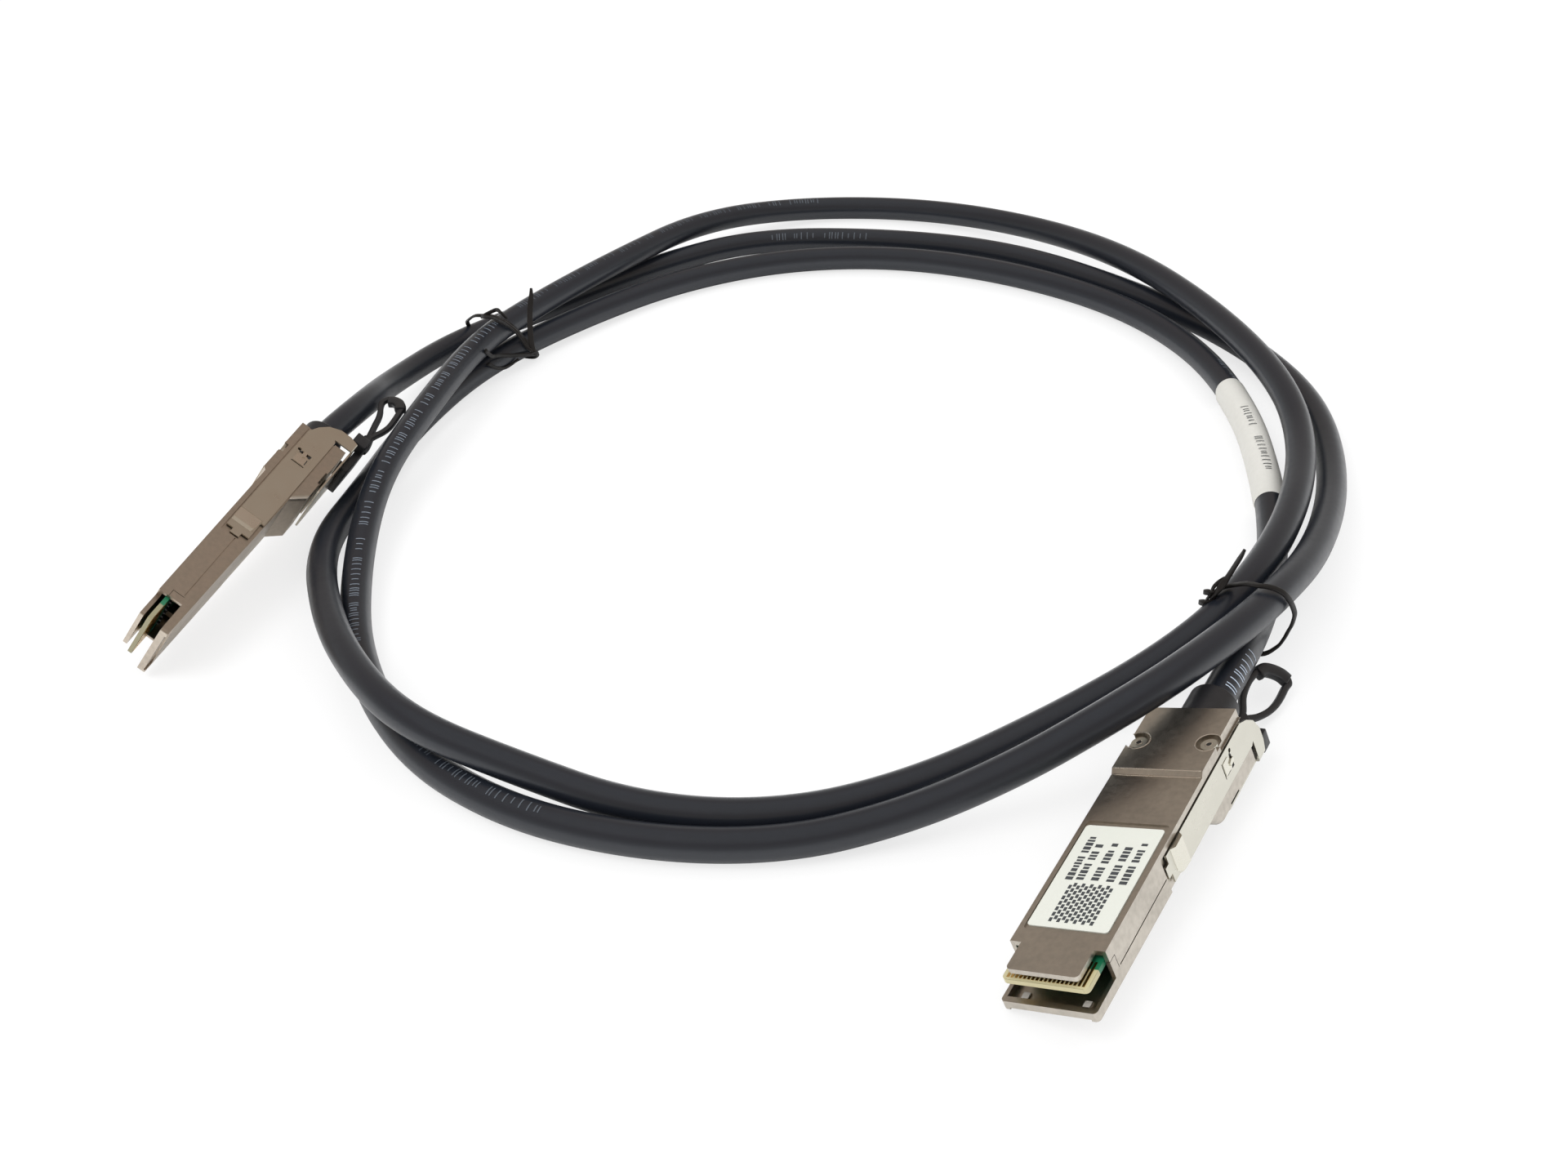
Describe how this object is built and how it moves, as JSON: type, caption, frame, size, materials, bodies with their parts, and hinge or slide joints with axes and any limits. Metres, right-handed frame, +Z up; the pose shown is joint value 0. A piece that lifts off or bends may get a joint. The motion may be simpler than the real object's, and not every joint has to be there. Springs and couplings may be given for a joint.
{
  "type": "direct attach copper cable",
  "caption": "Coiled round black cable with a die-cast pluggable card-edge module, sprung latch slider and pull loop on both ends.",
  "frame": {"origin": "centre of the two modules' common box, at its bottom (the floor)", "axes": "+Z up from the floor the cable lies on, +X to the right and +Y away from the viewer of the picture"},
  "size_m": [0.2887, 0.3474, 0.0267],
  "materials": {
    "upper_housing": "as-cast zinc, matte, warm grey",
    "lower_housing": "as-cast zinc, matte, warm grey",
    "paddle_card": "green solder mask over laminate",
    "card_contacts": "gold plated",
    "card_components": "moulded chip and ceramic parts",
    "twinax_wires": "thin wire insulation",
    "crimp_ferrule": "drawn steel",
    "cable_boot": "moulded black",
    "rivets": "pressed steel",
    "latch_slider": "stamped stainless strip",
    "pull_tab": "moulded flexible plastic",
    "module_label": "off-white label, plain bars of print",
    "cable": "charcoal jacket, satin",
    "cable_label": "off-white wrap",
    "twist_tie": "dark ribbon"
  },
  "bodies": {
    "cable_assembly": {"upper_housing_a": "upper_housing", "lower_housing_a": "lower_housing", "paddle_card_a": "paddle_card", "card_contacts_a": "card_contacts", "card_components_a": "card_components", "twinax_wires_a": "twinax_wires", "crimp_ferrule_a": "crimp_ferrule", "cable_boot_a": "cable_boot", "rivets_a": "rivets", "upper_housing_b": "upper_housing", "lower_housing_b": "lower_housing", "paddle_card_b": "paddle_card", "card_contacts_b": "card_contacts", "card_components_b": "card_components", "twinax_wires_b": "twinax_wires", "crimp_ferrule_b": "crimp_ferrule", "cable_boot_b": "cable_boot", "rivets_b": "rivets", "module_label_a": "module_label", "cable": "cable", "cable_label": "cable_label", "twist_tie_left": "twist_tie", "twist_tie_right": "twist_tie"},
    "slider_a": {"latch_slider_a": "latch_slider", "pull_tab_a": "pull_tab"},
    "slider_b": {"latch_slider_b": "latch_slider", "pull_tab_b": "pull_tab"}
  },
  "joints": [
    {"name": "slider_a_slide", "type": "slide", "parent": "cable_assembly", "child": "slider_a", "axis": [0.5591, 0.827, 0.0593], "range_m": [0, 0.0025], "stiffness_N_per_m": 400},
    {"name": "slider_b_slide", "type": "slide", "parent": "cable_assembly", "child": "slider_b", "axis": [0.3624, 0.928, 0.0866], "range_m": [0, 0.0025], "stiffness_N_per_m": 400}
  ]
}
